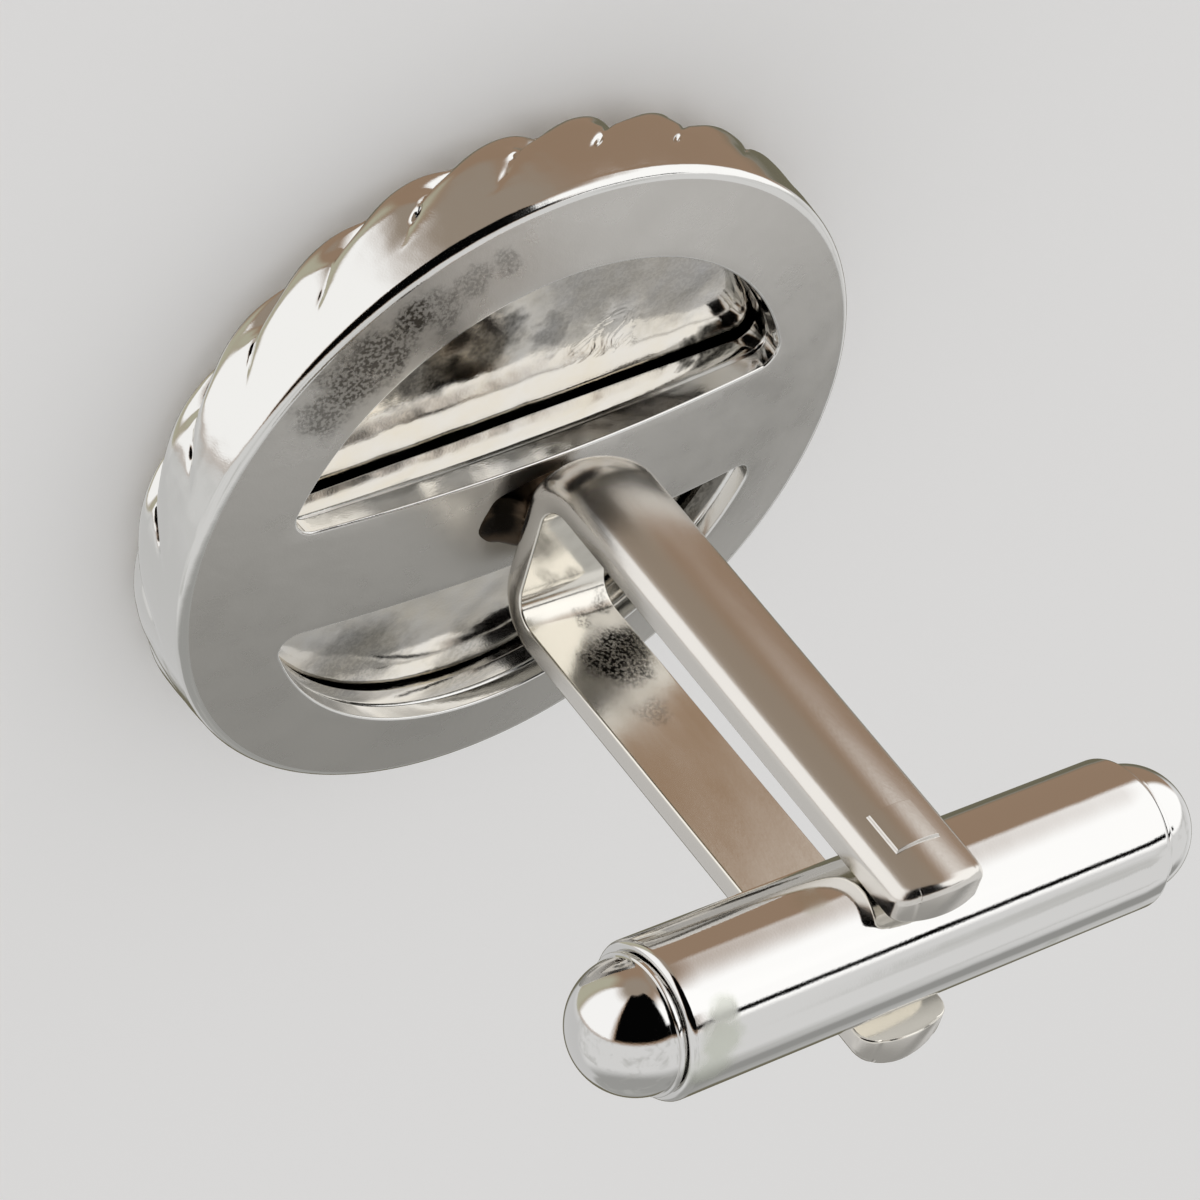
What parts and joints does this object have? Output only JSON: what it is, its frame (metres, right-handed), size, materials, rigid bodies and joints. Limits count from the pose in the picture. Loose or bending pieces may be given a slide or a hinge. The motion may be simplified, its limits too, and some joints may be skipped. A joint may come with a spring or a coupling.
{
  "type": "cufflink",
  "caption": "Silver-plated cufflink with a rope-edged round head, an open back crossed by a bar, a bent strap post and a swivelling bullet toggle.",
  "frame": {"origin": "centre of the head's front side, on the plane of its flat front land", "axes": "+Z along the post from the head to the toggle; +X along the toggle as it lies across the post; +Y along the toggle's pivot axis"},
  "size_m": [0.0208, 0.0208, 0.0211],
  "materials": {
    "head_plating": "polished rope rim, satin back",
    "insert_plating": "bright, slightly wrinkled back and polished front",
    "strap_plating": "satin, brushed along the strap",
    "toggle_plating": "mirror polished",
    "solder": "smooth, slightly yellowed",
    "click_steel": "plain, unplated"
  },
  "bodies": {
    "head_and_post": {"head": "head_plating", "front_plate": "insert_plating", "solder": "solder", "post": "strap_plating"},
    "toggle": {"toggle_tube": "toggle_plating", "left_cap": "toggle_plating", "right_cap": "toggle_plating", "left_spring": "click_steel", "right_spring": "click_steel"},
    "left_plunger": {"left_plunger": "click_steel"},
    "right_plunger": {"right_plunger": "click_steel"}
  },
  "joints": [
    {"name": "toggle_swivel", "type": "hinge", "parent": "head_and_post", "child": "toggle", "pos_m": [0, 0, 0.0191], "axis": [0, 1, 0], "range_deg": [-90, 90]},
    {"name": "left_click", "type": "slide", "parent": "toggle", "child": "left_plunger", "axis": [1, 0, 0], "range_m": [0, 0.00027], "stiffness_N_per_m": 1500, "springref_m": 0.00028, "deforming": ["left_spring"]},
    {"name": "right_click", "type": "slide", "parent": "toggle", "child": "right_plunger", "axis": [-1, 0, 0], "range_m": [0, 0.00027], "stiffness_N_per_m": 1500, "springref_m": 0.00028, "deforming": ["right_spring"]}
  ],
  "couplings": [
    {"joint": "right_click", "follows": "left_click", "ratio": 1}
  ]
}
